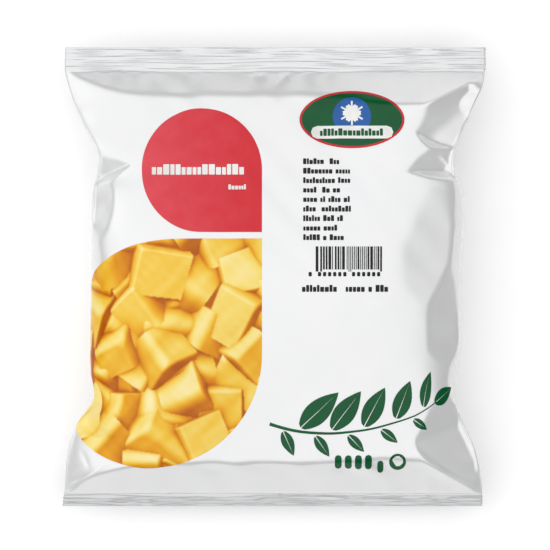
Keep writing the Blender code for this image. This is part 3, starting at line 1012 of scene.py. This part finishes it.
def fruitPicture():
    rng = random.Random(heap["seed"])
    size, step = window["radius"] + heap["margin"], heap["step"]
    line = np.arange(-size, size, step)
    height = np.full((len(line), len(line)), float(heap["ground"]))
    tone = np.zeros_like(height)
    light = np.array(heap["light"]) / np.linalg.norm(heap["light"])
    least, sun, sky = heap["shade"]
    for (cx, cy, cz), faces, reach, tint in diceInHeap(rng, size):
        columns, rows = (slice(*np.searchsorted(line, (c - reach, c + reach))) for c in (cx, cy))
        if min(part.stop - part.start for part in (columns, rows)) < 3:
            continue
        u, v = np.meshgrid(line[columns] - cx, line[rows] - cy)
        top, bottom = np.full_like(u, 99.0), np.full_like(u, -99.0)
        for normal, half in faces:
            normal = normal / np.linalg.norm(normal)
            if abs(normal[2]) < heap["leastLean"]:
                normal[2] = heap["leastLean"]
            plane = cz + (half - normal[0] * u - normal[1] * v) / normal[2]
            if normal[2] > 0:
                top = softLeast(top, plane, heap["rounding"])
            else:
                bottom = np.maximum(bottom, plane)
        slopeV, slopeU = np.gradient(top, step)
        steep = np.sqrt(1 + slopeU ** 2 + slopeV ** 2)
        lit = np.clip((light[2] - light[0] * slopeU - light[1] * slopeV) / steep, 0, 1)
        seen = (top > bottom) & (top > height[rows, columns])
        height[rows, columns] = np.where(seen, top, height[rows, columns])
        tone[rows, columns] = np.where(seen, least + sun * lit + sky / steep + tint, tone[rows, columns])
    for reach, depth, strength in heap["shadows"]:
        tone = tone * (1 - strength * np.clip((softened(height, reach) - height) / depth, 0, 1))
    u, v = np.meshgrid(line, line)
    rng = random.Random(heap["seed"] + 1)
    for strength, lengths in heap["veins"]:
        tone = tone + strength * waves(rng, u, v, lengths, lengths)
    stops = [stop for stop, _ in fruitShades]
    colours = linear([colour for _, colour in fruitShades])
    return line, np.stack([np.interp(np.clip(tone, 0, 1), stops, colours[:, k]) for k in range(3)], 2)


pictureLine, pictureShades = fruitPicture()
print("fruit picture made:", len(pictureLine), "points wide")


def pictureAt(flat):
    places = (flat - window["centre"] - pictureLine[0]) / heap["step"]
    places = np.clip(places, 0, len(pictureLine) - 1 - tiny)
    column, row = places.astype(int).T
    right, up = (places % 1).T[..., None]
    low, high = (
        pictureShades[k, column] * (1 - right) + pictureShades[k, column + 1] * right for k in (row, row + 1)
    )
    return low * (1 - up) + high * up


def fruitMaterial():
    material, shader = newMaterial("fruitPrint", linear(inks["fruit"]))
    ink = addNode(material, "VertexColor", layer_name="ink")
    join(material, ink.outputs["Color"], shader.inputs["Base Color"])
    glossyFilm(material, shader, filmLook, 0)
    return material


makePrint("fruitWindow", [windowOutline()], fruitMaterial(), window["spacing"], window["lift"], pictureAt)
print("fruit window printed")

view = {
    "centre": (0.65, 0.9),
    "frameWidth": 275,
    "height": 2500,
    "planeHeight": 27,  # the frame is so wide at this height
    "sensor": 36,
    "clipEnd": 20,  # in metres
}


def addCamera():
    data = bpy.data.cameras.new("photoCamera")
    data.sensor_width = view["sensor"]
    data.lens = view["sensor"] * (view["height"] - view["planeHeight"]) / view["frameWidth"]
    data.clip_end = view["clipEnd"]
    bpy.context.scene.camera = placed("photoCamera", data, Vector((*view["centre"], view["height"])) * mm)


lamp = {"name": "left", "at": (-1.7, 0.9, 1.5), "size": 0.8, "power": 0.5}  # metres and watts


def addLamp(name, at, size, power):
    data = bpy.data.lights.new(name, "AREA")
    data.shape = "SQUARE"
    data.size = size
    data.energy = power
    placed(name, data, at).rotation_euler = (-Vector(at)).to_track_quat("-Z", "Y").to_euler()


studio = {
    "floor": (0.95, 0.95, 0.95),
    "floorRoughness": 0.9,
    "floorGlow": 0.12,  # keeps the sweep behind the bag white
    "floorLevel": -0.1,  # just under the bag's flat back
    "floorReach": 6,  # in metres, to each side
    "domeAxis": (-0.17, 0.02, 1),  # the middle of the bright dome overhead
    "domeEdge": (74, 47),  # degrees from that axis where its light begins, and where it is full
    "domeLight": (0.02, 1.32),  # outside the dome, and in it
}


def addFloor():
    material, shader = newMaterial("paleFloor", studio["floor"], studio["floorRoughness"])
    setSockets(shader, {"Emission Color": (1, 1, 1, 1), "Emission Strength": studio["floorGlow"]})
    under = addNode(material, "NewGeometry").outputs["Backfacing"]
    clear = addNode(material, "BsdfTransparent").outputs[0]  # so that the bag's back can be looked at
    both = addNode(material, "MixShader", [(0, under), (1, shader.outputs[0]), (2, clear)])
    join(material, both.outputs[0], material.node_tree.nodes["Material Output"].inputs["Surface"])
    reach, level = studio["floorReach"], studio["floorLevel"] * mm
    corners = [(x * reach, y * reach, level) for x, y in ((-1, -1), (1, -1), (1, 1), (-1, 1))]
    mesh = bpy.data.meshes.new("floor")
    mesh.from_pydata(corners, [], [(0, 1, 2, 3)])
    mesh.materials.append(material)
    placed("floor", mesh)


def addWorld():
    world = bpy.data.worlds.new("studio")
    world.use_nodes = True
    background = world.node_tree.nodes["Background"]
    background.inputs["Color"].default_value = (1, 1, 1, 1)
    way = addNode(world, "TexCoord").outputs["Generated"]
    axis = addNode(world, "VectorMath", [(0, way)], operation="DOT_PRODUCT")
    axis.inputs[1].default_value = Vector(studio["domeAxis"]).normalized()
    edges = [math.cos(math.radians(a)) for a in studio["domeEdge"]]
    dome = mapped(world, axis.outputs["Value"], *edges, *studio["domeLight"], interpolation_type="SMOOTHSTEP")
    seen = addNode(world, "LightPath").outputs["Is Camera Ray"]  # past the floor's edge all is plain white
    strength = addNode(world, "Math", [(0, dome), (1, seen)], operation="MAXIMUM")
    join(world, strength.outputs["Value"], background.inputs["Strength"])
    bpy.context.scene.world = world


addCamera()
addLamp(**lamp)
addFloor()
addWorld()
bpy.context.scene.view_settings.view_transform = "Standard"
print("studio set")
